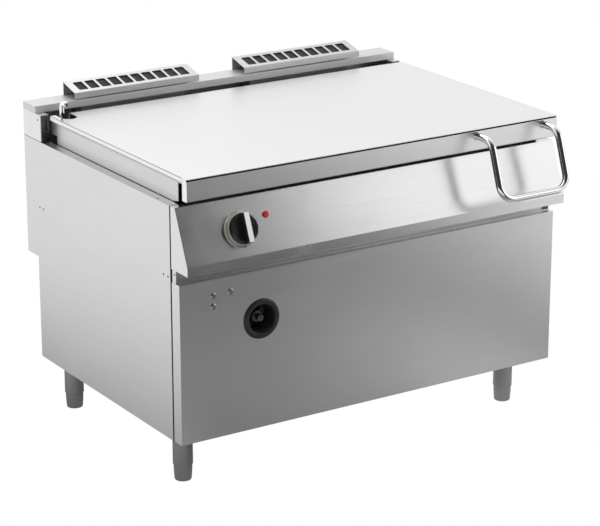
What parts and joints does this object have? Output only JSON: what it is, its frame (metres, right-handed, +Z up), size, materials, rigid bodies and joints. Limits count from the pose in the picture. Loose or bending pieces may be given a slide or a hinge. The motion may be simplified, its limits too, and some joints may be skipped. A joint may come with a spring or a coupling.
{
  "type": "tilting bratt pan",
  "caption": "Gas tilting bratt pan: a wide steel pan with hinged lid, tilted by a worm and toothed sector from a front hand crank, on a footed cabinet",
  "frame": {"origin": "on the floor, under the middle of the bounding box", "axes": "+X runs along the width to the right as the cook sees it, +Y to the back, +Z up"},
  "size_m": [1.2, 0.9972, 0.921],
  "materials": {
    "brushed_panel": "brushed along its length",
    "satin_steel": "fine satin",
    "frame_steel": "dark satin paint",
    "bright_steel": "polished",
    "foot_steel": "dull",
    "gear_steel": "machined",
    "bronze": "machined",
    "pipe": "yellow gas-pipe paint",
    "black_plastic": "satin",
    "red_plastic": "gloss",
    "heat_plate": "rolled",
    "ceramic_wool": "pressed fibre board"
  },
  "bodies": {
    "cabinet": {"base_frame": "frame_steel", "panel_spacers": "satin_steel", "left_side_panel": "brushed_panel", "right_side_panel": "brushed_panel", "front_panel": "brushed_panel", "recess_rail": "brushed_panel", "control_panel": "brushed_panel", "lower_back_panel": "satin_steel", "upper_back_panel": "satin_steel", "bottom_panel": "satin_steel", "rear_beam": "satin_steel", "rear_columns": "brushed_panel", "hinge_guide_plates": "frame_steel", "left_flue_hood": "satin_steel", "right_flue_hood": "satin_steel", "flue_ducts": "satin_steel", "leg_tubes": "foot_steel", "shaft_bearings": "frame_steel", "front_panel_pips": "bright_steel", "crank_recess": "black_plastic", "gearbox": "frame_steel", "gearbox_bracket": "frame_steel", "knob_bezel": "satin_steel", "gas_valve": "bronze", "gas_pipe": "pipe", "burner_feed": "pipe", "gas_inlet": "pipe", "water_inlet": "bronze", "igniter_body": "black_plastic", "combustion_chamber": "satin_steel", "chamber_insulation": "ceramic_wool", "chamber_brackets": "frame_steel", "burner_tubes": "satin_steel", "burner_manifold": "pipe"},
    "pan": {"pan_vessel": "satin_steel", "pan_base_plate": "heat_plate", "left_pan_casing": "satin_steel", "right_pan_casing": "satin_steel", "rear_pan_casing": "satin_steel", "pan_arms": "frame_steel", "tilt_shaft": "gear_steel", "tilt_sector": "gear_steel", "hinge_barrels": "satin_steel", "filling_spout": "bright_steel"},
    "lid": {"lid_shell": "satin_steel", "lid_liner": "satin_steel", "lid_handle": "bright_steel", "handle_ferrules": "bright_steel", "lid_hinge_arms": "satin_steel", "hinge_pins": "bright_steel"},
    "worm": {"worm_shaft": "gear_steel", "tilt_worm": "bronze"},
    "crank": {"crank_spindle": "gear_steel"},
    "knob": {"control_knob": "black_plastic", "knob_strip": "bright_steel"},
    "button": {"ignition_button": "red_plastic"},
    "foot_front_left": {"front_left_foot": "foot_steel"},
    "foot_front_right": {"front_right_foot": "foot_steel"},
    "foot_rear_left": {"rear_left_foot": "foot_steel"},
    "foot_rear_right": {"rear_right_foot": "foot_steel"}
  },
  "joints": [
    {"name": "pan_tilt", "type": "hinge", "parent": "cabinet", "child": "pan", "pos_m": [0, -0.32841, 0.655], "axis": [1, 0, 0], "range_deg": [0, 75]},
    {"name": "lid_hinge", "type": "hinge", "parent": "pan", "child": "lid", "pos_m": [0, 0.37659, 0.855], "axis": [-1, 0, 0], "range_deg": [0, 82]},
    {"name": "worm_turn", "type": "hinge", "parent": "cabinet", "child": "worm", "pos_m": [-0.356, -0.21641, 0.655], "axis": [0, 0, 1], "range_deg": [-3750, 0]},
    {"name": "crank_turn", "type": "hinge", "parent": "cabinet", "child": "crank", "pos_m": [-0.356, -0.33641, 0.453], "axis": [0, -1, 0], "range_deg": [-3750, 0]},
    {"name": "burner_knob_turn", "type": "hinge", "parent": "cabinet", "child": "knob", "pos_m": [-0.4265, -0.38155, 0.71534], "axis": [0, -0.9221, 0.387], "range_deg": [0, 270]},
    {"name": "ignition_press", "type": "slide", "parent": "cabinet", "child": "button", "axis": [0, 0.9221, -0.387], "range_m": [0, 0.004], "stiffness_N_per_m": 400},
    {"name": "front_left_foot_screw", "type": "slide", "parent": "cabinet", "child": "foot_front_left", "axis": [0, 0, -1], "range_m": [0, 0.03]},
    {"name": "front_right_foot_screw", "type": "slide", "parent": "cabinet", "child": "foot_front_right", "axis": [0, 0, -1], "range_m": [0, 0.03]},
    {"name": "rear_left_foot_screw", "type": "slide", "parent": "cabinet", "child": "foot_rear_left", "axis": [0, 0, -1], "range_m": [0, 0.03]},
    {"name": "rear_right_foot_screw", "type": "slide", "parent": "cabinet", "child": "foot_rear_right", "axis": [0, 0, -1], "range_m": [0, 0.03]}
  ],
  "couplings": [
    {"joint": "worm_turn", "follows": "pan_tilt", "ratio": -50},
    {"joint": "crank_turn", "follows": "pan_tilt", "ratio": -50}
  ]
}
